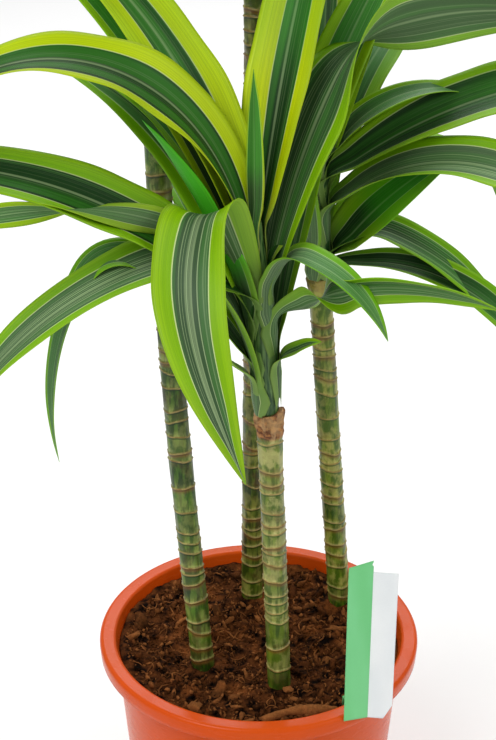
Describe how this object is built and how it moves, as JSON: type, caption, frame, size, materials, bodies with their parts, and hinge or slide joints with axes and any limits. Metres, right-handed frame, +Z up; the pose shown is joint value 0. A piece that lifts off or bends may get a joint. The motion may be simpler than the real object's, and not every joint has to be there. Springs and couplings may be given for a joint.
{
  "type": "potted corn plant",
  "caption": "Potted corn plant: tapered plastic pot of soil, bare ringed canes of stepped heights, each topped by a head of arching striped leaves, with a blank tag hooked on the rim.",
  "frame": {"origin": "centre of the pot's flat underside, where it rests", "axes": "+Z up along the pot and the canes, -Y towards the side that the picture shows"},
  "size_m": [0.6738, 0.5906, 1.2296],
  "materials": {
    "pot_plastic": "glossy orange moulded plastic",
    "soil": "coarse dark peat and bark",
    "cane": "satin green stem with raised brown rings",
    "leaf": "satin leaf, dark green middle with lime margins",
    "tag": "thin satin plastic, blank"
  },
  "bodies": {
    "root": {"pot": "pot_plastic", "soil": "soil", "cane_a": "cane", "cane_b": "cane", "cane_c": "cane", "cane_d": "cane", "head_a": "leaf", "head_b": "leaf", "head_c": "leaf", "head_d": "leaf", "tag": "tag"}
  },
  "joints": []
}
